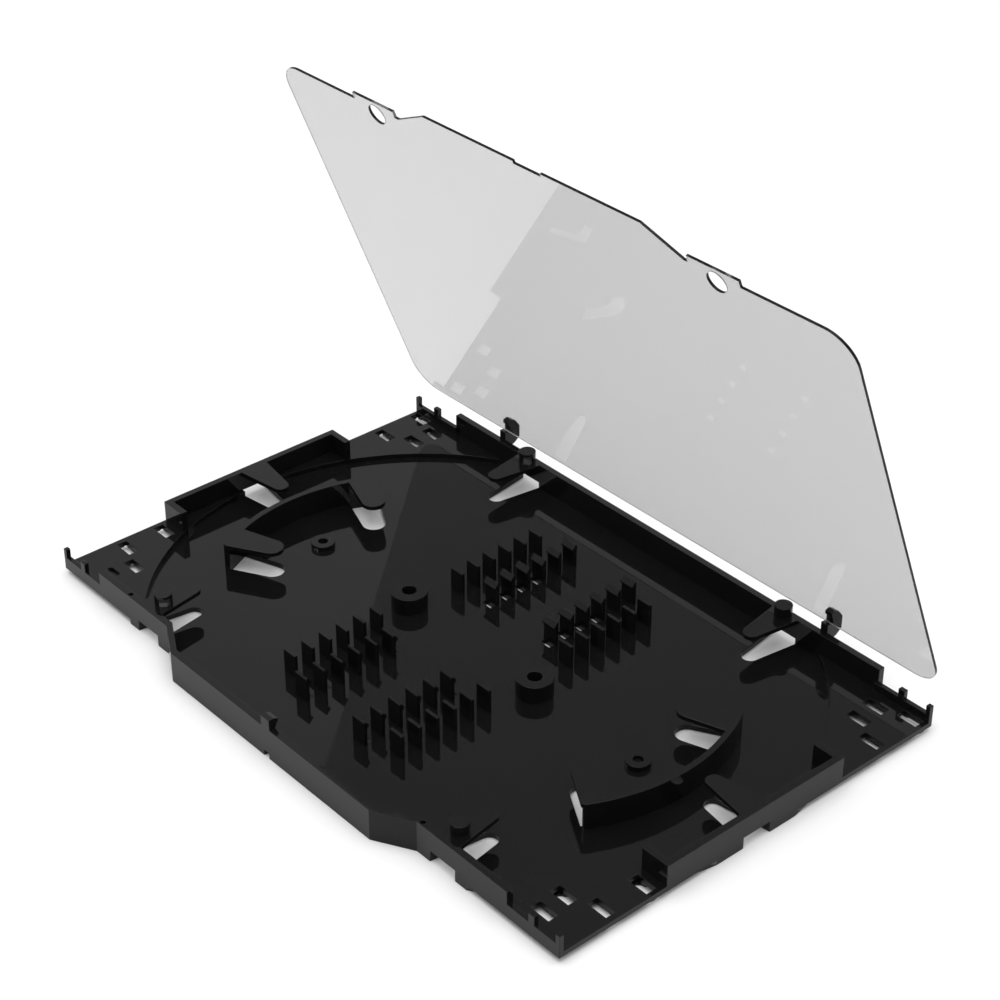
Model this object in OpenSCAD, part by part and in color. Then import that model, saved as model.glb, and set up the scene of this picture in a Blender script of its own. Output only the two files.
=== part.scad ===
// Fibre splice tray with a clear hinged lid.
// Millimetres, +Z up. The tray lies flat with its low floor on Z = 0.
// X runs along the length, Y across it (+Y is the hinge side), and the
// tray is the mirror image of itself across X = 0.

/* [Tray plan] */
// Overall length along X
tray_len = 240; // [224:2:280]
// Depth of the corner plates along Y
plate_depth = 150; // [140:1:180]
// How far the latch bay stands out of the front edge
bay_out = 7; // [3:0.5:12]
// Length of the latch bay's straight front
bay_len = 97; // [60:1:120]
// How far each end of the latch bay slants, along X
bay_slant = 12.5; // [6:0.5:20]
// How far the back wall stands out of the back edge
back_out = 1.8; // [0.6:0.1:4]
// Distance from each end to the ends of the tall front and back walls
corner_len = 21; // [16:0.5:28]
// Length of each end wall, along Y
end_wall_len = 71; // [50:1:90]
// How far the end walls' returns reach in from the ends
return_len = 10; // [6:0.5:14]

/* [Levels and thickness] */
// Height of the wall tops over the low floor's underside
wall_height = 11; // [9:0.5:18]
// Thickness of the tall walls
wall_t = 2.3; // [1.6:0.1:3]
// Thickness of the low floor and of the corner plates
floor_t = 1.85; // [1.4:0.05:2.6]
// Height of the corner plates' underside over the low floor's underside
plate_step = 1.85; // [1:0.05:3]
// Radius of the low floor's round ends, seen from above
floor_r = 87; // [80:0.5:92]
// Width of the rib between the low floor and the corner plates
rib_w = 4.4; // [2.5:0.1:6]
// Height of the low walls round the corners
kerb_h = 6.5; // [5:0.1:8]
// Thickness of the low walls and of their posts
kerb_t = 1.6; // [1.2:0.1:2.4]
// Height of the small posts on the low walls
post_h = 9.6; // [7:0.1:11]

/* [Tie slots] */
// Length of a tie slot
slot_len = 7.4; // [6:0.2:8]
// Width of a tie slot
slot_w = 5.2; // [4:0.1:5.6]
// Width of the thick rims round the tie slots
slot_rim = 1.2; // [0.6:0.1:1.6]
// Height of the rims' undersides over the low floor's underside
slot_rim_z = 0.9; // [0:0.1:1]
// Diameter of the two blind holes in the front wall's top
dimple_d = 1.6; // [1:0.1:1.8]

/* [Fibre guides and bosses] */
// Distance from the middle to each tall boss, along X
boss_x = 30; // [24:0.5:36]
// Position of the bosses along Y
boss_y = -3.3; // [-8:0.1:4]
// Outer diameter of each tall boss
boss_od = 12; // [9:0.5:14]
// Hole in each tall boss
boss_hole = 4.8; // [2.5:0.1:6]
// Height of the tall bosses' tops
boss_top = 7.8; // [5:0.1:10]
// Outer radius of the curved guides, about the tall bosses
guide_r = 64.8; // [58:0.2:70]
// Thickness of the curved guides
guide_t = 2; // [1.4:0.1:3]
// Half the angle each curved guide covers
guide_half_angle = 29.5; // [20:0.5:36]
// Distance from the middle to each low boss, along X
low_boss_x = 75.3; // [68:0.1:80]
// Outer diameter of each low boss
low_boss_od = 8; // [6:0.2:10]
// Hole in each low boss
low_boss_hole = 3.2; // [2:0.1:4.5]
// Height of the low bosses over the low floor
low_boss_rise = 1.8; // [1:0.1:4]

/* [Splice combs] */
// Splice places in each of the two combs
places = 6; // [4:1:7]
// Distance between neighbouring splice places
comb_pitch = 6.7; // [5.5:0.1:7]
// Distance from the bosses' line to the first fin of each comb
comb_start = 16.7; // [14:0.1:20]
// Gap for a splice sleeve, between a fin and its finger
sleeve_gap = 3.3; // [2.4:0.1:4]
// Thickness of the fins and fingers
fin_t = 1.2; // [0.8:0.1:1.6]
// Width of the fins and fingers along X
fin_w = 5.6; // [4:0.1:7]
// Distance from the middle to the fixed fins
fin_x = 25.8; // [22:0.1:30]
// Distance from the middle to the spring fingers
finger_x = 14; // [10:0.1:18]
// Height of the fins' tops
fin_top = 10; // [8:0.1:12]
// How far the fingers' barbs reach over the sleeves
barb = 0.8; // [0.4:0.1:1.2]

/* [Holding tabs] */
// Thickness of the holding tabs
tab_t = 1.5; // [1:0.1:2.2]
// Width of a tab at its wall
tab_root = 11; // [8:0.5:14]
// Width of a tab at its rounded tip
tab_tip = 5.6; // [3:0.2:7]
// Reach of the long tabs from the outside of the wall
tab_reach = 20; // [14:0.5:24]
// Distance from the middle to the back tabs
back_tab_x = 60; // [52:0.5:66]
// Distance from the middle to the front tabs
front_tab_x = 72; // [68:0.5:76]
// Width of a guide's tabs at their rounded tips
guide_tab_tip = 8; // [4:0.5:9]
// Angle of the guides' tabs, about the tall bosses
guide_tab_angle = 25.2; // [8:0.2:26]
// Diameter of the pegs on the tabs' roots
peg_d = 5.8; // [4:0.1:6.4]
// How far the front pegs stand out of their tabs
front_peg = 3.5; // [1:0.1:4]
// How far the back pegs stand out of their tabs
back_peg = 3.7; // [2:0.1:3.8]

/* [Hooks and lid] */
// Distance from the middle to each hinge hook
hook_x = 75.2; // [68:0.1:84]
// Width of each hinge hook along X
hook_w = 2.8; // [2:0.1:5]
// Thickness of the lid's sheet
lid_t = 0.9; // [0.6:0.1:1.6]
// How far the lid stands past the tray at each end
lid_over = 0.6; // [0:0.1:1.5]
// Corner radius of the lid
lid_corner = 10; // [4:0.5:16]
// Opening angle of the lid from closed
lid_angle = 68; // [0:1:74]

/* [Hidden] */
$fn = 64;
hx = tray_len / 2;
hy = plate_depth / 2;
rail_x = hx - corner_len;
post_x = hx - 12.4;
finger_off = fin_t + sleeve_gap;
finger_top = fin_top + 0.5;
// where the lid's rear edge turns, and the height of the hooks' pockets
hinge_y = hy + back_out - 0.35;
hinge_z = wall_height + 4.75;
pocket = 1.9;
// pegs: the front pair goes through the lid, the back pair stops under it
front_peg_y = -hy + 6.6;
back_peg_y = hy + back_out - peg_d / 2 - 0.2;
// from the lid's rear edge to its front edge and to its two holes
lid_depth = hinge_y + hy - 3.85;
lid_hole_t = hinge_y - front_peg_y;
black = [0.035, 0.035, 0.04];
clear = [0.86, 0.88, 0.9, 0.35];

// 2-D ------------------------------------------------------------

// tongue from y = back to y = len: wide root, rounded tip
module tongue2d(len, back = 0.6, root = tab_root, tip = tab_tip) {
    r = tip / 2;
    c = len - r;
    h = c - back;
    d = sqrt(root * root / 4 + h * h);
    a = acos(r / d) - atan2(h, root / 2);
    polygon([[-root / 2, back], [root / 2, back],
             [r * cos(a), c + r * sin(a)], [-r * cos(a), c + r * sin(a)]]);
    translate([0, c]) circle(r);
}

module mirror_x() {
    children();
    mirror([1, 0, 0]) children();
}

// stadium of the given end radius about the floor's two centres
module stadium2d(r) {
    translate([-boss_x, -r]) square([2 * boss_x, 2 * r]);
    mirror_x() translate([boss_x, 0]) circle(r);
}

// outline of the tray, drawn in by the given amount
module outline2d(d = 0) {
    polygon([
        [-hx + d, -hy + d], [-bay_len / 2 - bay_slant, -hy + d],
        [-bay_len / 2, -hy - bay_out + d], [bay_len / 2, -hy - bay_out + d],
        [bay_len / 2 + bay_slant, -hy + d], [hx - d, -hy + d],
        [hx - d, hy - d], [rail_x + back_out, hy - d],
        [rail_x, hy + back_out - d], [-rail_x, hy + back_out - d],
        [-rail_x - back_out, hy - d], [-hx + d, hy - d]]);
}

// Tray -----------------------------------------------------------

// walls stand on this outline, from the underside up to height h
module rim(h, t, d = 0) {
    linear_extrude(h) difference() {
        outline2d(d);
        outline2d(d + t);
    }
}

// box between two corners
module box(a, b) {
    translate(a) cube(b - a);
}

// low floor and the raised corner plates, with the rib that joins them
module floors() {
    linear_extrude(floor_t) intersection() {
        outline2d();
        stadium2d(floor_r + rib_w);
    }
    translate([0, 0, plate_step]) linear_extrude(floor_t) difference() {
        outline2d();
        stadium2d(floor_r);
    }
}

// space under the corner plates, where nothing of the tray reaches down
module below_plates() {
    translate([0, 0, -1]) linear_extrude(1 + plate_step) difference() {
        square([2 * hx + 2, 2 * hy + 4 * bay_out], center = true);
        stadium2d(floor_r + rib_w);
    }
}

// front and back walls with the latch bay, then the low kerbs and posts
module long_walls() {
    intersection() {
        rim(wall_height, wall_t);
        union() {
            box([-rail_x, -hy - bay_out - 1, -1], [rail_x, -hy / 2, wall_height + 1]);
            box([-rail_x, hy / 2, -1], [rail_x, hy + back_out + 1, wall_height + 1]);
        }
    }
    mirror_x() for (s = [-1, 1]) {
        y0 = s > 0 ? hy - kerb_t : -hy;
        box([rail_x - 1, y0, plate_step], [hx, y0 + kerb_t, kerb_h]);
        box([hx - kerb_t, y0, plate_step], [hx, y0 + kerb_t, post_h]);
        box([post_x, y0, plate_step], [post_x + 1.5 * kerb_t, y0 + kerb_t, post_h]);
    }
}

// end walls with their returns, and a gusset beyond each return
module end_walls() {
    mirror_x() {
        box([hx - wall_t, -end_wall_len / 2, 0], [hx, end_wall_len / 2, wall_height]);
        for (s = [-1, 1]) translate([hx - return_len, s > 0 ? end_wall_len / 2 - wall_t : -end_wall_len / 2, 0])
            cube([return_len, wall_t, wall_height]);
    }
}

// curved fibre guides about the tall bosses, up to the level of their tabs
module guides() {
    mirror_x() translate([boss_x, boss_y, 0]) linear_extrude(wall_height - tab_t) guide2d();
}

module guide2d() {
    intersection() {
        difference() {
            circle(guide_r, $fn = 128);
            circle(guide_r - guide_t, $fn = 128);
        }
        polygon([[0, 0],
                 [2 * guide_r, -2 * guide_r * tan(guide_half_angle)],
                 [2 * guide_r, 2 * guide_r * tan(guide_half_angle)]]);
    }
}

// bosses, before their holes are cut
module bosses() {
    mirror_x() {
        translate([boss_x, boss_y, 0]) cylinder(d = boss_od, h = boss_top);
        translate([low_boss_x, boss_y, 0]) cylinder(d = low_boss_od, h = floor_t + low_boss_rise);
    }
}

module boss_holes() {
    mirror_x() {
        translate([boss_x, boss_y, -1]) cylinder(d = boss_hole, h = boss_top + 2);
        translate([low_boss_x, boss_y, -1]) cylinder(d = low_boss_hole, h = boss_top + 2);
    }
}

// one fixed fin across X, its outer face towards +Y
module fin(x, y) {
    box([x - fin_w / 2, y - fin_t / 2, floor_t - 0.5], [x + fin_w / 2, y + fin_t / 2, fin_top]);
}

// one spring finger; its barb reaches towards -Y over the sleeve
module finger(x, y) {
    translate([x - fin_w / 2, y, 0]) rotate([90, 0, 90]) linear_extrude(fin_w)
        polygon([[-fin_t / 2, floor_t - 0.5], [fin_t / 2, floor_t - 0.5], [fin_t / 2, finger_top - 0.4],
                 [fin_t / 2 - 0.4, finger_top], [0, finger_top], [-fin_t / 2 - barb, finger_top - 1.6],
                 [-fin_t / 2 - barb, finger_top - 2.1], [-fin_t / 2, finger_top - 2.9]]);
}

// the comb behind the bosses; the front one is its mirror image
module comb() {
    for (i = [0 : places - 1]) {
        y = comb_start + i * comb_pitch;
        mirror_x() {
            fin(fin_x, y);
            finger(finger_x, y + finger_off);
        }
    }
}

// openings in the floor under the barbs of the listed places
module comb_windows(list) {
    for (i = list) if (i < places) mirror_x() translate([finger_x, comb_start + i * comb_pitch + finger_off, -1])
        translate([-2, -fin_t / 2 - barb - 1.2, 0]) cube([4, barb + 1.2, floor_t + 2]);
}

module both_combs() {
    translate([0, boss_y, 0]) {
        children(0);
        mirror([0, 1, 0]) children($children - 1);
    }
}

// puts its children where each holding tab grows out of its wall
module at_tabs() {
    mirror_x() {
        translate([back_tab_x, hy + back_out, 0]) rotate(180) children(0);
        translate([front_tab_x, -hy, 0]) children(0);
        translate([hx, 0, 0]) rotate(90) children(0);
    }
}

module at_guide_tabs() {
    for (a = [-1, 1]) rotate(a * guide_tab_angle) translate([guide_r, 0, 0]) rotate(90) children(0);
}

module tabs() {
    at_tabs() translate([0, 0, wall_height - tab_t]) linear_extrude(tab_t) tongue2d(tab_reach);
    mirror_x() translate([boss_x, boss_y, wall_height - tab_t]) linear_extrude(tab_t) {
        guide2d();
        at_guide_tabs() tongue2d(tab_reach - 0.7, guide_t * 0.4, tab_root, guide_tab_tip);
    }
}

module tab_windows() {
    at_tabs() translate([0, 0, -1]) linear_extrude(1.2 + plate_step + floor_t) tongue2d(tab_reach, -1);
    mirror_x() translate([boss_x, boss_y, -1]) linear_extrude(1.2 + plate_step + floor_t) at_guide_tabs()
        tongue2d(tab_reach - 0.7, guide_t, tab_root - 0.6, guide_tab_tip);
}

module pegs() {
    mirror_x() {
        translate([front_tab_x, front_peg_y, wall_height - 1]) cylinder(d = peg_d, h = front_peg + 1);
        translate([back_tab_x, back_peg_y, wall_height - 1]) cylinder(d = peg_d, h = back_peg + 1);
    }
}

// rounded slots for cable ties in the corner plates, drawn out by a rim
module tie_slots2d(grow = 0) {
    mirror_x() translate([hx, 0]) for (p = [[-5.3, hy - 3.5], [-15.8, hy - 7.2], [-15.4, hy - 15.4],
                                            [-5.7, hy - 20.7], [-5.3, -hy + 35.2], [-5.7, -hy + 20.5],
                                            [-16, -hy + 16.2]])
        translate(p) slot2d(slot_len + 2 * grow, slot_w + 2 * grow);
    // the inmost front slot is open on the right and only a slit on the left
    translate([hx - 14.8, -hy + 8]) slot2d(slot_len + 2 * grow, slot_w + 2 * grow);
}

module tie_slots() {
    linear_extrude(plate_step + floor_t + 1) tie_slots2d();
    translate([-hx + 14.4, -hy + 9.4, 0]) linear_extrude(plate_step + floor_t + 1) slot2d(5.6, 1.8);
}

module slot_rims() {
    translate([0, 0, slot_rim_z]) linear_extrude(plate_step - slot_rim_z + floor_t / 2) intersection() {
        outline2d(0.05);
        tie_slots2d(slot_rim);
    }
}

// blind holes in the top of the front wall
module dimples() {
    for (x = [-82.2, 62.5]) translate([x, -hy + wall_t / 2, wall_height - 1.2]) cylinder(d = dimple_d, h = 2);
}

module slot2d(w, h) {
    square([w - h, h], center = true);
    for (s = [-1, 1]) translate([s * (w - h) / 2, 0]) circle(d = h);
}

// hinge hooks on the back wall; the lid's rear edge lies in their pockets
module hooks() {
    mirror_x() translate([hook_x - hook_w / 2, hinge_y, hinge_z]) rotate([90, 0, 90])
        linear_extrude(hook_w) polygon([
            [-0.8, wall_height - hinge_z - 1], [-0.8, -pocket / 2], [1.9, -pocket / 2 - 0.3],
            [1.9, pocket / 2], [1.1, pocket / 2 + 0.7], [1.1, pocket / 2 + 2], [2.7, pocket / 2 + 2.4],
            [4.5, pocket / 2 + 1.4], [6.4, -0.2], [6.4, wall_height - hinge_z + 0.2],
            [3.7, wall_height - hinge_z - 1.9], [hy + back_out - hinge_y - 0.5, wall_height - hinge_z - 3.2],
            [hy + back_out - hinge_y - 0.5, wall_height - hinge_z - 1]]);
}

// catch for the lid on the middle of the latch bay
module latch() {
    translate([-2, -hy - bay_out, 0]) rotate([90, 0, 90]) linear_extrude(4)
        polygon([[0, 2], [wall_t, 2], [wall_t, wall_height], [3.4, wall_height + 2.4], [3.4, wall_height + 3],
                 [1.8, wall_height + 3.6], [0, wall_height + 3.6]]);
}

module tray() {
    color(black) difference() {
        union() {
            difference() {
                union() {
                    difference() {
                        union() {
                            floors();
                            long_walls();
                            end_walls();
                            guides();
                            bosses();
                        }
                        below_plates();
                    }
                    slot_rims();
                }
                tab_windows();
                dimples();
                tie_slots();
                both_combs() {
                    comb_windows([0, 1, 2, 3]);
                    comb_windows([0, 4, 5]);
                }
                box([-1.2, -hy - bay_out - 1, -1], [1.2, -hy - bay_out + 1.2, 3]);
            }
            tabs();
            pegs();
            both_combs() comb();
            hooks();
            latch();
        }
        boss_holes();
    }
}

// Lid ------------------------------------------------------------

// lid lying flat: rear edge on Y = 0, reaching towards -Y
module lid2d() {
    d0 = lid_depth;
    d1 = lid_depth + 2.4;
    d2 = lid_depth + bay_out;
    w1 = bay_len / 2 - 2.6;
    w2 = bay_len / 2 + bay_slant - 0.6;
    x1 = front_tab_x - 10;
    x2 = front_tab_x + 9.6;
    difference() {
        union() {
            rounded2d(hx + lid_over, d0, lid_corner);
            polygon([[-x2, -d0 / 2], [-x2, -d1], [-x1, -d1], [-x1, -d0], [-w2, -d0], [-w1, -d2],
                     [w1, -d2], [w2, -d0], [x1, -d0], [x1, -d1], [x2, -d1], [x2, -d0 / 2]]);
        }
        mirror_x() translate([front_tab_x, -lid_hole_t]) circle(d = peg_d + 1.4);
        translate([-5.7, -d2 - 1]) square([11.4, 2]);
    }
}

module rounded2d(w, d, r) {
    translate([-w + r, -d]) square([2 * (w - r), d]);
    translate([-w, -d + r]) square([2 * w, d - 2 * r]);
    for (x = [-w + r, w - r], y = [-r, -d + r]) translate([x, y]) circle(r);
}

module lid() {
    color(clear) translate([0, hinge_y, hinge_z]) rotate([-lid_angle, 0, 0])
        translate([0, 0, -lid_t / 2]) linear_extrude(lid_t) lid2d();
}

tray();
lid();
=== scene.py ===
# %% [markdown]
# # A fibre splice tray with a clear lid
# The tray is one black moulding, and the lid is one sheet of clear plastic that
# hangs in two hooks. Both shapes come from the CAD frame, so this lesson is about
# what CAD leaves out: soft edges, repeated fins, gloss, and a sheet you see through.

# %% Load the frame
import math

import bmesh
import bpy
from mathutils import Matrix, Vector


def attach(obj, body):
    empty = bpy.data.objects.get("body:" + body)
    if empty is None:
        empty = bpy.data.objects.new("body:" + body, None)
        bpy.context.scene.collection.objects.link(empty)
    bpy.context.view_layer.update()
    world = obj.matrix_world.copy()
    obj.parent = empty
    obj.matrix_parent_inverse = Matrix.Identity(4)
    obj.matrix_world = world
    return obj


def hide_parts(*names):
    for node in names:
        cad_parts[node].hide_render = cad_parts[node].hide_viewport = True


MM = 0.001
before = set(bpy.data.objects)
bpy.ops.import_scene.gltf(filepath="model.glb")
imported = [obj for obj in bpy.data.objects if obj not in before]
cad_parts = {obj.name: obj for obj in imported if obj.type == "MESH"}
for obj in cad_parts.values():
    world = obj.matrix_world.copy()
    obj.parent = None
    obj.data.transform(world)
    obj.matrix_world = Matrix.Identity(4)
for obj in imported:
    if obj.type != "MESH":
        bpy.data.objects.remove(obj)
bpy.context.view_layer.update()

# %% [markdown]
# ## Small helpers for node trees
# Every finish below is a few nodes joined by name. Two short helpers keep the
# wiring readable: one adds a node with its values, the other starts a group with
# named inputs and outputs, so that an effect can be used in several materials.

# %% Helpers for node trees
FLOAT, COLOUR = "NodeSocketFloat", "NodeSocketColor"


def add(tree, kind, inputs=None, **settings):
    """A node of this kind; inputs are values or sockets to link, by name or number."""
    node = tree.nodes.new(kind)
    for key, value in settings.items():
        setattr(node, key, value)
    for key, value in (inputs or {}).items():
        if isinstance(value, bpy.types.NodeSocket):
            tree.links.new(value, node.inputs[key])
        else:
            node.inputs[key].default_value = value
    return node


def maths(tree, operation, *values, clamp=False):
    """One Math node and its result."""
    return add(tree, "ShaderNodeMath", dict(enumerate(values)), operation=operation,
               use_clamp=clamp).outputs[0]


def start_group(name, inputs, outputs, kind="ShaderNodeTree"):
    """A node group with named sockets, its input node and its output node."""
    tree = bpy.data.node_groups.new(name, kind)
    for label, socket_type, value in inputs:
        socket = tree.interface.new_socket(label, in_out="INPUT", socket_type=socket_type)
        if value is not None:
            socket.default_value = value
    for label, socket_type in outputs:
        tree.interface.new_socket(label, in_out="OUTPUT", socket_type=socket_type)
    return tree, tree.nodes.new("NodeGroupInput"), tree.nodes.new("NodeGroupOutput")


def use_group(tree, group, **values):
    """Places a group in a material and sets its inputs, given with _ for spaces."""
    node = tree.nodes.new("ShaderNodeGroup")
    node.node_tree = group
    for label, value in values.items():
        node.inputs[label.replace("_", " ")].default_value = value
    return node


def start_material(name):
    """An empty material, its tree, its Principled BSDF and its output node."""
    material = bpy.data.materials.new(name)
    material.use_nodes = True
    tree = material.node_tree
    tree.nodes.clear()
    shader = tree.nodes.new("ShaderNodeBsdfPrincipled")
    output = tree.nodes.new("ShaderNodeOutputMaterial")
    tree.links.new(shader.outputs["BSDF"], output.inputs["Surface"])
    return material, tree, shader, output


# %% [markdown]
# ## Marks from handling
# Clear and black plastic show the same marks: faint smears that dull the gloss,
# hairline scratches and a little dust. One group makes all three, with an input
# for the strength of each, because the lid is cleaner than the tray. The patterns
# read Object coordinates, in metres, so they keep their real size.

# %% Group: handling marks
marks, given, result = start_group(
    "Handling marks",
    [("Base roughness", FLOAT, 0.1), ("Smear", FLOAT, 0.05), ("Scratches", FLOAT, 0.1),
     ("Dust", FLOAT, 0.3)],
    [("Roughness", FLOAT), ("Height", FLOAT), ("Dust mask", FLOAT)])
place = add(marks, "ShaderNodeTexCoord").outputs["Object"]

# smears: a few centimetres across, softly broken up
broad = add(marks, "ShaderNodeTexNoise", {"Vector": place, "Scale": 26.0, "Detail": 4.0,
                                          "Roughness": 0.6, "Distortion": 0.6})
smear = add(marks, "ShaderNodeMapRange", {"Value": broad.outputs["Fac"], "From Min": 0.42,
                                          "From Max": 0.7}).outputs[0]

# scratches: noise drawn out along one direction, twice, and only its peaks kept
streaks = []
for turn, stretch in ((0.35, (30.0, 2100.0, 800.0)), (-0.9, (1700.0, 24.0, 900.0))):
    along = add(marks, "ShaderNodeMapping", {"Vector": place, "Rotation": (0, 0, turn),
                                             "Scale": stretch})
    noise = add(marks, "ShaderNodeTexNoise", {"Vector": along.outputs[0], "Scale": 1.0,
                                              "Detail": 2.0})
    streaks.append(add(marks, "ShaderNodeMapRange", {
        "Value": noise.outputs["Fac"], "From Min": 0.66, "From Max": 0.76}).outputs[0])
scratch = maths(marks, "MAXIMUM", *streaks)

# dust: tiny grains, more of them where a second noise is high
grain = add(marks, "ShaderNodeTexVoronoi", {"Vector": place, "Scale": 520.0})
near = add(marks, "ShaderNodeMapRange", {"Value": grain.outputs["Distance"], "From Min": 0.13,
                                         "From Max": 0.07}).outputs[0]
drift = add(marks, "ShaderNodeTexNoise", {"Vector": place, "Scale": 60.0, "Detail": 3.0})
patch = add(marks, "ShaderNodeMapRange", {"Value": drift.outputs["Fac"], "From Min": 0.52,
                                          "From Max": 0.68}).outputs[0]
dust = maths(marks, "MULTIPLY", maths(marks, "MULTIPLY", near, patch), given.outputs["Dust"])

dull = maths(marks, "MULTIPLY", smear, given.outputs["Smear"])
dull = maths(marks, "MULTIPLY_ADD", scratch, given.outputs["Scratches"], dull)
dull = maths(marks, "ADD", maths(marks, "ADD", dull, given.outputs["Base roughness"]), dust)
marks.links.new(maths(marks, "MINIMUM", dull, 0.9), result.inputs["Roughness"])
height = maths(marks, "MULTIPLY", scratch, maths(marks, "MULTIPLY", given.outputs["Scratches"], -1.0))
marks.links.new(maths(marks, "ADD", height, dust), result.inputs["Height"])
marks.links.new(dust, result.inputs["Dust mask"])
print("made group", marks.name)

# %% [markdown]
# ## The skin of a moulding
# Glossy moulded plastic is never quite flat. It sinks a little over thick places and
# has a fine orange peel, so that mirror images in it waver. The colour also drifts
# where the melt flowed. This second group makes that drift and those two heights.

# %% Group: moulded skin
skin, given, result = start_group(
    "Moulded skin",
    [("Deep colour", COLOUR, (0.0032, 0.0032, 0.0036, 1)),
     ("Flow colour", COLOUR, (0.006, 0.006, 0.0064, 1)),
     ("Sink", FLOAT, 1.0), ("Peel", FLOAT, 0.2)],
    [("Colour", COLOUR), ("Height", FLOAT)])
place = add(skin, "ShaderNodeTexCoord").outputs["Object"]
stretched = add(skin, "ShaderNodeMapping", {"Vector": place, "Scale": (0.45, 1.0, 1.0)})
flow = add(skin, "ShaderNodeTexNoise", {"Vector": stretched.outputs[0], "Scale": 34.0,
                                        "Detail": 3.0, "Distortion": 1.4})
# a Mix node has one set of sockets for each kind of data, so its colours go by place
tint = add(skin, "ShaderNodeMix", {0: flow.outputs["Fac"], 6: given.outputs["Deep colour"],
                                   7: given.outputs["Flow colour"]}, data_type="RGBA")
skin.links.new(tint.outputs[2], result.inputs["Colour"])
sink = add(skin, "ShaderNodeTexNoise", {"Vector": place, "Scale": 22.0, "Detail": 1.0})
peel = add(skin, "ShaderNodeTexNoise", {"Vector": place, "Scale": 620.0, "Detail": 2.0})
height = maths(skin, "MULTIPLY", peel.outputs["Fac"], given.outputs["Peel"])
height = maths(skin, "MULTIPLY_ADD", sink.outputs["Fac"], given.outputs["Sink"], height)
skin.links.new(height, result.inputs["Height"])
print("made group", skin.name)

# %% [markdown]
# ## Painted edge sheen
# A Bevel node gives the normal as if the edge were rounder than it is. Where that
# differs from the true normal there is an edge, so the difference is a mask, and noise
# breaks it up. It works on any mesh, whatever its faces. The black plastic uses the mask
# for a painted highlight along its edges and for a little more roughness there.

# %% Group: painted edge sheen and roughness
edge_sheen_group, given, result = start_group(
    "Painted edge sheen and rub", [("Reach", FLOAT, 0.0004), ("Strength", FLOAT, 1.0)], [("Mask", FLOAT)])
rounded = add(edge_sheen_group, "ShaderNodeBevel", {"Radius": given.outputs["Reach"]}, samples=4)
true_normal = add(edge_sheen_group, "ShaderNodeNewGeometry").outputs["Normal"]
agree = add(edge_sheen_group, "ShaderNodeVectorMath", {0: rounded.outputs[0], 1: true_normal},
            operation="DOT_PRODUCT").outputs["Value"]
edge = add(edge_sheen_group, "ShaderNodeMapRange", {"Value": agree, "From Min": 0.99, "From Max": 0.8}).outputs[0]
breaks = add(edge_sheen_group, "ShaderNodeTexNoise", {
    "Vector": add(edge_sheen_group, "ShaderNodeTexCoord").outputs["Object"], "Scale": 340.0, "Detail": 3.0})
kept = add(edge_sheen_group, "ShaderNodeMapRange", {"Value": breaks.outputs["Fac"], "From Min": 0.4,
                                          "From Max": 0.62}).outputs[0]
edge_sheen_group.links.new(maths(edge_sheen_group, "MULTIPLY", maths(edge_sheen_group, "MULTIPLY", edge, kept),
                       given.outputs["Strength"], clamp=True), result.inputs["Mask"])
print("made group", edge_sheen_group.name)

# %% [markdown]
# ## Black moulded plastic
# The tray is almost black, so nearly all that is seen of it is its reflections. Its
# colour stays very low, its roughness small, and the three groups do the rest. The
# dust and a painted highlight along the edges are the only pale things on it.

# %% Material: black moulded plastic
black_plastic, tree, shader, output = start_material("Black moulded plastic")
moulded = use_group(tree, skin, Sink=1.0, Peel=0.02)
handled = use_group(tree, marks, Base_roughness=0.03, Smear=0.04, Scratches=0.08, Dust=0.15)
# an edge mask: a painted highlight along the edges, and a little more roughness there
edge_sheen_and_rub = use_group(tree, edge_sheen_group, Reach=0.0004, Strength=0.6)

# the moulding's colour, with a paler painted highlight along the edges, and then the dust over it
# paler colour painted along the edges as a highlight
EDGE_SHEEN_COLOUR = (0.02, 0.02, 0.021, 1)
DUST_COLOUR = (0.12, 0.115, 0.105, 1)
edge_sheen_painted = add(tree, "ShaderNodeMix", {0: edge_sheen_and_rub.outputs["Mask"], 6: moulded.outputs["Colour"],
                                    7: EDGE_SHEEN_COLOUR}, data_type="RGBA")
dusty = add(tree, "ShaderNodeMix", {0: handled.outputs["Dust mask"], 6: edge_sheen_painted.outputs[2],
                                    7: DUST_COLOUR}, data_type="RGBA")
tree.links.new(dusty.outputs[2], shader.inputs["Base Color"])
# the same edge mask also makes the edges a little rougher
tree.links.new(maths(tree, "MULTIPLY_ADD", edge_sheen_and_rub.outputs["Mask"], 0.15, handled.outputs["Roughness"]),
               shader.inputs["Roughness"])

# the two heights: the skin's swell first, then nicks and dust on top of it
swell = add(tree, "ShaderNodeBump", {"Height": moulded.outputs["Height"], "Strength": 0.35,
                                     "Distance": 0.00025})
nicks = add(tree, "ShaderNodeBump", {"Height": handled.outputs["Height"], "Strength": 0.25,
                                     "Distance": 0.00003, "Normal": swell.outputs[0]})
tree.links.new(nicks.outputs[0], shader.inputs["Normal"])
shader.inputs["IOR"].default_value = 1.5
shader.inputs["Specular IOR Level"].default_value = 0.2

# %% [markdown]
# ## The clear sheet
# A clear sheet is glass to the renderer: light passes both faces and each mirrors a
# little. Lamps can't find their way through glass, so a Light Path node lets shadow
# rays pass as if the sheet were only tinted. Light that goes along inside the sheet is
# lost at the edge left by the cutter, so that edge has its own material, tinted dark to paint in that
# shade.

# %% Materials: clear sheet and its cut edge
SHEET_TINT = (0.615, 0.615, 0.615, 1)
SHEET_IOR = 1.23                    # low, so that the sheet mirrors the tray only faintly
SHEET_SHADE = (0.9, 0.9, 0.9, 1)    # what lamps' light keeps as it passes
# the cut edge's dark tint is painted shade for the light lost inside the sheet
EDGE_PAINTED_DARK_TINT = (0.15, 0.15, 0.15, 1)
EDGE_SHADE = (0.6, 0.6, 0.6, 1)


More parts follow.
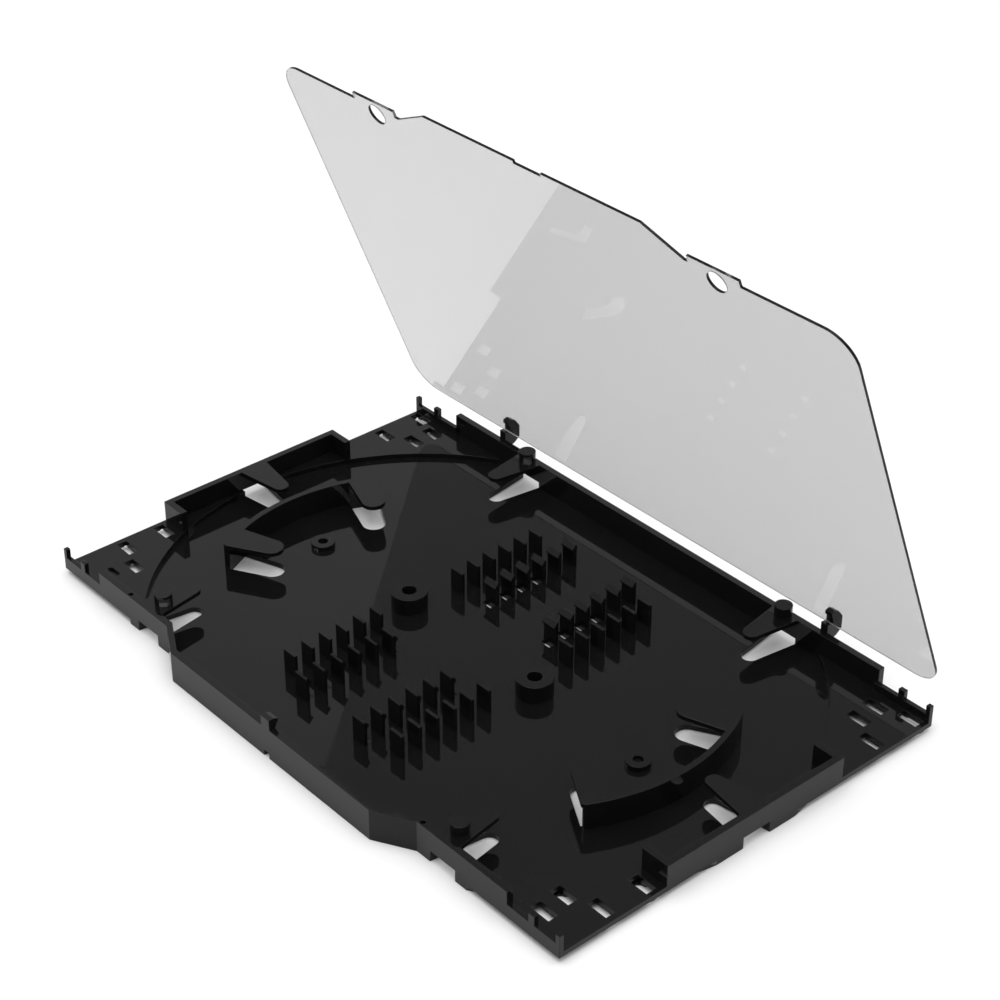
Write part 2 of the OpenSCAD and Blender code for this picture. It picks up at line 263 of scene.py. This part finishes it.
def clear_material(name, tint, base_roughness, smear, shade):
    """Clear plastic with handling marks, and a plain tint for the rays that seek lamps."""
    material, tree, shader, output = start_material(name)
    handled = use_group(tree, marks, Base_roughness=base_roughness, Smear=smear, Scratches=0.03,
                        Dust=0.04)
    shader.inputs["Base Color"].default_value = tint
    shader.inputs["Transmission Weight"].default_value = 1.0
    shader.inputs["IOR"].default_value = SHEET_IOR
    tree.links.new(handled.outputs["Roughness"], shader.inputs["Roughness"])
    wave = add(tree, "ShaderNodeTexNoise", {
        "Vector": add(tree, "ShaderNodeTexCoord").outputs["Object"], "Scale": 9.0, "Detail": 1.0})
    bent = add(tree, "ShaderNodeBump", {"Height": wave.outputs["Fac"], "Strength": 0.1,
                                        "Distance": 0.0004})
    tree.links.new(bent.outputs[0], shader.inputs["Normal"])
    through = add(tree, "ShaderNodeBsdfTransparent", {"Color": shade})
    path = add(tree, "ShaderNodeLightPath")
    either = add(tree, "ShaderNodeMixShader", {0: path.outputs["Is Shadow Ray"],
                                               1: shader.outputs["BSDF"], 2: through.outputs[0]})
    tree.links.new(either.outputs[0], output.inputs["Surface"])
    return material


clear_sheet = clear_material("Clear polished sheet", SHEET_TINT, 0.004, 0.012, SHEET_SHADE)
cut_edge = clear_material("Cut edge of the sheet", EDGE_PAINTED_DARK_TINT, 0.25, 0.1, EDGE_SHADE)
print("finishes:", [m.name for m in bpy.data.materials if m.users or m.node_tree])

# %% [markdown]
# ## From a CAD mesh to a moulding
# A CAD mesh is loose triangles with knife edges. Merging its corners and dissolving
# the flat triangles gives back the true faces, and then a Bevel modifier can soften
# every outer edge by a tenth of a millimetre, as a mould does. Flat faces then get their
# own normals back, so that they stay flat beside those small roundings.

# %% Helpers: merged copies and soft edges
WELD = 0.002 * MM                   # corners of the CAD mesh closer than this are one corner
FLAT = math.radians(0.6)            # faces that meet at less than this are one face
CURVED = math.radians(20)           # up to this they are steps of a curved wall
SHARP = math.radians(30)            # outer edges over this get rounded
SPLIT = math.radians(48)            # edges over this are shaded as sharp
EDGE_ROUNDING = 0.12 * MM           # of the moulding
SHEET_ROUNDING = 0.08 * MM          # of the lid
SMALL_FACE = 0.5 * MM * MM          # faces under this area belong to the roundings
SHARE_OF_NEIGHBOUR = 0.2            # a neighbour smaller than this share doesn't count as a wall


def merged_copy(node):
    """The CAD node as a bmesh with its corners merged."""
    mesh = bmesh.new()
    mesh.from_mesh(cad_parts[node].data)
    bmesh.ops.remove_doubles(mesh, verts=mesh.verts[:], dist=WELD)
    return mesh


def true_faces(mesh):
    """Joins flat triangles into whole faces and closes up specks."""
    bmesh.ops.dissolve_limit(mesh, angle_limit=FLAT, use_dissolve_boundaries=False,
                             verts=mesh.verts[:], edges=mesh.edges[:])
    bmesh.ops.remove_doubles(mesh, verts=mesh.verts[:], dist=0.05 * MM)
    bmesh.ops.dissolve_degenerate(mesh, dist=0.001 * MM, edges=mesh.edges[:])
    bmesh.ops.delete(mesh, geom=[e for e in mesh.edges if not e.link_faces], context="EDGES")


def new_piece(name, mesh, *materials):
    """An object at the origin from a bmesh."""
    data = bpy.data.meshes.new(name)
    mesh.to_mesh(data)
    mesh.free()
    for material in materials:
        data.materials.append(material)
    piece = bpy.data.objects.new(name, data)
    bpy.context.scene.collection.objects.link(piece)
    return piece


def settle(piece):
    """Turns what the modifiers make into the piece's own plain mesh."""
    graph = bpy.context.evaluated_depsgraph_get()
    made = bpy.data.meshes.new_from_object(piece.evaluated_get(graph))
    piece.modifiers.clear()
    piece.data = made
    return piece


def flat_faces(data):
    """Indices of the faces that aren't part of a curved wall."""
    mesh = bmesh.new()
    mesh.from_mesh(data)
    flats = []
    for face in mesh.faces:
        area = face.calc_area()
        turns = any(FLAT < edge.calc_face_angle(0.0) < CURVED
                    and other.calc_area() > area * SHARE_OF_NEIGHBOUR
                    for edge in face.edges for other in edge.link_faces if other is not face)
        if area > SMALL_FACE and not turns:
            flats.append(face.index)
    mesh.free()
    return flats


def soften(piece, width):
    """Rounds every sharp outer edge by width, and shades curves smooth and flats flat."""
    mesh = bmesh.new()
    mesh.from_mesh(piece.data)
    weight = mesh.edges.layers.float.new("bevel_weight_edge")
    for edge in mesh.edges:
        edge[weight] = float(edge.calc_face_angle_signed(0.0) > SHARP)
    mesh.to_mesh(piece.data)
    mesh.free()
    bevel = piece.modifiers.new("Soft edges", "BEVEL")
    bevel.width, bevel.segments = width, 2
    bevel.limit_method = "WEIGHT"
    bevel.use_clamp_overlap = False
    settle(piece)
    piece.data.shade_smooth()
    piece.data.set_sharp_from_angle(angle=SPLIT)
    weighted = piece.modifiers.new("Weighted normals", "WEIGHTED_NORMAL")
    weighted.keep_sharp = True
    settle(piece)
    normals = [corner.vector.copy() for corner in piece.data.corner_normals]
    for index in flat_faces(piece.data):
        face = piece.data.polygons[index]
        for corner in face.loop_indices:
            normals[corner] = face.normal
    piece.data.normals_split_custom_set(normals)
    print(piece.name, len(piece.data.polygons), "faces")
    return piece


# %% [markdown]
# ## Narrow tie slots
# The frame's tie slots are wide, with round ends. The moulding's are narrow with square
# ends, so plugs fill the wide slots and narrow ones are cut in their place. Each step is
# one Boolean modifier with a box at every slot. The slots in the back corners run into
# the kerb along the back edge, so that kerb is made good before anything is cut.

# %% Tie slots
half_length, half_depth = 120.0 * MM, 75.0 * MM
kerb_from_end, kerb_from_back = 5.3, 1.2
# each slot's middle: how far from the end of the tray, and how far back from its middle line
from_end_and_middle = [(5.3, 71.1), (15.8, 67.8), (15.4, 59.6), (5.7, 54.3),
                       (5.3, -39.8), (5.7, -54.5), (16.0, -58.8)]
slots = [(side * (half_length - x * MM), y * MM) for x, y in from_end_and_middle for side in (1, -1)]
slots.append((105.2 * MM, -67.0 * MM))      # one more, at the front of the right end only
kerbs = [(side * (half_length - kerb_from_end * MM), half_depth - kerb_from_back * MM) for side in (1, -1)]


def boxes_at(where, size, low, high):
    """One object with a box of this length and width at each place, from low to high."""
    mesh = bmesh.new()
    for x, y in where:
        middle = Matrix.Translation((x, y, (low + high) / 2))
        scale = Matrix.Diagonal((size[0], size[1], high - low, 1.0))
        bmesh.ops.create_cube(mesh, size=1.0, matrix=middle @ scale)
    return new_piece("boxes", mesh)


def combine(piece, boxes, operation):
    """Joins boxes to a piece, or cuts them out, and removes them."""
    step = piece.modifiers.new(operation, "BOOLEAN")
    step.operation, step.solver, step.object = operation, "EXACT", boxes
    settle(piece)
    bpy.data.objects.remove(boxes)


# What is done, where, with a box of which length and width, from which height to which
# (in mm; the plate with the slots runs from 1.85 to 3.7)
slot_steps = [
    ("UNION", slots, (7.6, 5.4), (1.85, 3.7)),          # plugs in the wide slots
    ("UNION", kerbs, (7.6, 0.8), (2.0, 4.8)),           # the kerb made good
    ("DIFFERENCE", slots, (9.2, 4.4), (0.5, 1.84)),     # the thick rims below the plate
    ("DIFFERENCE", slots, (7.4, 3.6), (0.4, 5.4)),      # the narrow slots
]
tray_shell = new_piece("tray_shell", merged_copy("tray"), black_plastic)
for operation, where, size, heights in slot_steps:
    low, high = [height * MM for height in heights]
    combine(tray_shell, boxes_at(where, [side * MM for side in size], low, high), operation)

# %% [markdown]
# ## The tray without its combs
# The fins and spring fingers of the combs repeat 24 times each, so they are made once
# and set out by a rule. The copy of the moulding loses them first: it is cut at floor
# level round the combs, what stands higher goes, and the floor is closed again.

# %% Sizes of the combs, in metres
floor_top = 1.85 * MM
boss_line = -3.3 * MM                           # the line through the tall bosses
places = 6                                      # in each comb
place_pitch = 6.7 * MM
first_place = 16.7 * MM                         # from the bosses' line
fin_side, finger_side = 25.8 * MM, 14.0 * MM    # from the tray's middle
plate_width, plate_thick = 5.6 * MM, 1.2 * MM
sleeve_gap = 3.3 * MM                           # between a fin and its finger
fin_top = 10.0 * MM
finger_top = fin_top + 0.5 * MM
barb = 0.8 * MM                                 # how far a finger leans over the sleeve

# %% Piece: tray shell
shell = bmesh.new()
shell.from_mesh(tray_shell.data)
bmesh.ops.remove_doubles(shell, verts=shell.verts[:], dist=WELD)
comb_inner, comb_outer = 10.5 * MM, 29.5 * MM
comb_start = first_place - 1.3 * MM
comb_end = first_place + (places - 1) * place_pitch + sleeve_gap + plate_thick + 2.2 * MM


def over_comb(vert):
    """Whether a corner of the mesh stands in one of the four fields of the combs."""
    across, along = abs(vert.co.x), abs(vert.co.y - boss_line)
    return comb_inner < across < comb_outer and comb_start < along < comb_end


near_combs = set(f for f in shell.faces if all(over_comb(v) for v in f.verts))
for face in list(near_combs):
    near_combs.update(face.edges)
    near_combs.update(face.verts)
bmesh.ops.bisect_plane(shell, geom=list(near_combs), dist=0.001 * MM,
                       plane_co=(0, 0, floor_top), plane_no=(0, 0, 1))
standing = [v for v in shell.verts if over_comb(v) and v.co.z > floor_top + 0.01 * MM]
bmesh.ops.delete(shell, geom=standing, context="VERTS")
footprints = bmesh.ops.holes_fill(shell, edges=[e for e in shell.edges if len(e.link_faces) == 1])
bmesh.ops.recalc_face_normals(shell, faces=footprints["faces"])
true_faces(shell)
open_edges = sum(1 for e in shell.edges if len(e.link_faces) != 2)
print("plates taken off:", len(footprints["faces"]), "open edges left:", open_edges)

shell.to_mesh(tray_shell.data)
shell.free()
soften(tray_shell, EDGE_ROUNDING)
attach(tray_shell, "tray_body")
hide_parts("tray")

# %% [markdown]
# ## A tree that sets out the combs
# One plate comes in, and the tree puts it at each place on both sides of the middle.
# The front comb is the back one turned half round the bosses' line. The sizes are
# inputs with names, so another tray needs only other numbers.

# %% Geometry nodes: comb rows
rows, given, result = start_group(
    "Comb rows",
    [("Plate", "NodeSocketGeometry", None), ("Places", "NodeSocketInt", 6),
     ("Pitch", FLOAT, 0.0067), ("First place", FLOAT, 0.0167), ("Side", FLOAT, 0.025),
     ("Boss line", FLOAT, 0.0), ("Finish", "NodeSocketMaterial", None)],
    [("Combs", "NodeSocketGeometry")], kind="GeometryNodeTree")
start_y = maths(rows, "ADD", given.outputs["Boss line"], given.outputs["First place"])
step = add(rows, "ShaderNodeCombineXYZ", {"Y": given.outputs["Pitch"]})
both_sides = add(rows, "GeometryNodeJoinGeometry")
for sign in (1.0, -1.0):
    corner = add(rows, "ShaderNodeCombineXYZ", {
        "X": maths(rows, "MULTIPLY", given.outputs["Side"], sign), "Y": start_y})
    line = add(rows, "GeometryNodeMeshLine", {
        "Count": given.outputs["Places"], "Start Location": corner.outputs[0],
        "Offset": step.outputs[0]}, mode="OFFSET")
    rows.links.new(line.outputs[0], both_sides.inputs[0])
standing = add(rows, "GeometryNodeInstanceOnPoints", {"Points": both_sides.outputs[0],
                                                      "Instance": given.outputs["Plate"]})
shift = add(rows, "ShaderNodeCombineXYZ", {
    "Y": maths(rows, "MULTIPLY", given.outputs["Boss line"], 2.0)})
turned = add(rows, "GeometryNodeTransform", {"Geometry": standing.outputs[0],
                                             "Translation": shift.outputs[0],
                                             "Rotation": (0.0, 0.0, math.pi)})
both_combs = add(rows, "GeometryNodeJoinGeometry")
for half in (standing, turned):
    rows.links.new(half.outputs[0], both_combs.inputs[0])
solid = add(rows, "GeometryNodeRealizeInstances", {0: both_combs.outputs[0]})
painted = add(rows, "GeometryNodeSetMaterial", {"Geometry": solid.outputs[0],
                                                "Material": given.outputs["Finish"]})
rows.links.new(painted.outputs[0], result.inputs["Combs"])


def set_out(piece, **values):
    """Runs the comb tree on a piece and keeps what it makes."""
    modifier = piece.modifiers.new("Comb rows", "NODES")
    modifier.node_group = rows
    for item in rows.interface.items_tree:
        label = item.name.replace(" ", "_")
        if item.in_out == "INPUT" and label in values:
            modifier[item.identifier] = values[label]
    return settle(piece)


# %% [markdown]
# ## Fins and spring fingers
# Each place of a comb holds one splice sleeve between a stiff fin and a spring finger.
# The finger leans a barb over the sleeve. Both are a side outline drawn out along the
# length of the tray, and both run a little way into the floor so that no gap shows.

# %% Pieces: splice fins and spring fingers
FOOT = floor_top - 0.4 * MM         # both kinds of plate start inside the floor


def plate(outline):
    """A bmesh of an outline in Y and Z, drawn out along X by the plates' width."""
    mesh = bmesh.new()
    left = [mesh.verts.new((-plate_width / 2, y, z)) for y, z in outline]
    face = mesh.faces.new(left)
    grown = bmesh.ops.extrude_face_region(mesh, geom=[face])
    moved = [g for g in grown["geom"] if isinstance(g, bmesh.types.BMVert)]
    bmesh.ops.translate(mesh, vec=(plate_width, 0, 0), verts=moved)
    bmesh.ops.recalc_face_normals(mesh, faces=mesh.faces[:])
    return mesh


half_plate = plate_thick / 2
fin_outline = [(-half_plate, FOOT), (half_plate, FOOT), (half_plate, fin_top), (-half_plate, fin_top)]
finger_outline = [
    (-half_plate, FOOT), (half_plate, FOOT), (half_plate, finger_top - 0.4 * MM),
    (half_plate - 0.4 * MM, finger_top), (0, finger_top), (-half_plate - barb, finger_top - 1.6 * MM),
    (-half_plate - barb, finger_top - 2.1 * MM), (-half_plate, finger_top - 2.9 * MM)]
comb_pieces = [
    ("splice_fins", fin_outline, fin_side, first_place),
    ("spring_fingers", finger_outline, finger_side, first_place + plate_thick + sleeve_gap)]
for name, outline, side, first in comb_pieces:
    piece = set_out(new_piece(name, plate(outline), black_plastic), Places=places, Pitch=place_pitch,
                    First_place=first, Side=side, Boss_line=boss_line, Finish=black_plastic)
    soften(piece, EDGE_ROUNDING)
    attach(piece, "tray_body")

# %% [markdown]
# ## The lid
# The lid is the CAD sheet with its edges eased a little. Faces that look along the
# sheet are the cut edge; the two that look across it are polished. Which is which is
# plain from each face's normal against the sheet's own.

# %% Piece: clear lid
sheet = merged_copy("lid")
true_faces(sheet)
clear_lid = soften(new_piece("clear_lid", sheet, clear_sheet, cut_edge), SHEET_ROUNDING)
broadest = max(clear_lid.data.polygons, key=lambda face: face.area).normal.copy()
for face in clear_lid.data.polygons:
    face.material_index = int(abs(face.normal.dot(broadest)) < 0.5)
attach(clear_lid, "lid_body")
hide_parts("lid")
print("cut edge faces:", sum(face.material_index for face in clear_lid.data.polygons))

# %% [markdown]
# ## Floor and light
# Black gloss is lit by what it mirrors. The upright faces mirror the pale floor and the
# flat ones mirror the far sky, so the floor's tone against the sky's sets how the two
# differ. A broad soft lamp overhead, out of the mirror's way, brightens the floor alone.

# %% Floor
ground_finish, tree, shader, output = start_material("Pale floor")
mottle = add(tree, "ShaderNodeTexNoise", {
    "Vector": add(tree, "ShaderNodeTexCoord").outputs["Object"], "Scale": 3.0, "Detail": 4.0})
pale = add(tree, "ShaderNodeMix", {0: mottle.outputs["Fac"], 6: (0.86, 0.86, 0.86, 1),
                                   7: (0.88, 0.88, 0.88, 1)}, data_type="RGBA")
tree.links.new(pale.outputs[2], shader.inputs["Base Color"])
shader.inputs["Roughness"].default_value = 0.9
shader.inputs["Specular IOR Level"].default_value = 0.1
mesh = bmesh.new()
just_below = Matrix.Translation((0, 0, -0.05 * MM))
bmesh.ops.create_grid(mesh, x_segments=1, y_segments=1, size=6.0, matrix=just_below)
ground = new_piece("floor", mesh, ground_finish)

# %% Sky and lamp
SKY_LOW, SKY_HIGH = 0.66, 0.88      # brightness at the horizon and overhead
world = bpy.data.worlds.new("Studio")
bpy.context.scene.world = world
world.use_nodes = True
tree = world.node_tree
tree.nodes.clear()
direction = add(tree, "ShaderNodeTexCoord").outputs["Generated"]
up = add(tree, "ShaderNodeSeparateXYZ", {0: direction}).outputs["Z"]
sky = add(tree, "ShaderNodeMapRange", {"Value": up, "From Min": 0.0, "From Max": 1.0,
                                       "To Min": SKY_LOW, "To Max": SKY_HIGH}).outputs[0]
background = add(tree, "ShaderNodeBackground", {"Strength": sky, "Color": (1, 1, 1, 1)})
add(tree, "ShaderNodeOutputWorld", {"Surface": background.outputs[0]})


def soft_lamp(name, place, aim, size, power):
    """A square lamp of this size in metres that looks at a point."""
    data = bpy.data.lights.new(name, "AREA")
    data.size, data.energy = size, power
    lamp = bpy.data.objects.new(name, data)
    bpy.context.scene.collection.objects.link(lamp)
    lamp.location = place
    lamp.rotation_euler = (Vector(aim) - Vector(place)).to_track_quat("-Z", "Y").to_euler()
    return lamp


soft_lamp("overhead", (0.15, -0.25, 1.6), (0, 0, 0), 1.5, 17.0)

# %% Camera
# A long lens, in front of the tray and to its right, that looks down at 33 degrees.
camera_data = bpy.data.cameras.new("camera")
camera_data.sensor_width = 36.0
camera_data.lens = 85.26
camera_data.clip_start, camera_data.clip_end = 0.01, 50.0
camera = bpy.data.objects.new("camera", camera_data)
bpy.context.scene.collection.objects.link(camera)
right = Vector((0.65717, 0.75374, 0.00196))
forward = Vector((-0.63182, 0.55229, -0.54386))
axes = Matrix((right, right.cross(forward), -forward)).transposed()
camera.matrix_world = Matrix.Translation((0.454014, -0.388065, 0.442355)) @ axes.to_4x4()
bpy.context.scene.camera = camera
bpy.context.scene.view_settings.view_transform = "Standard"
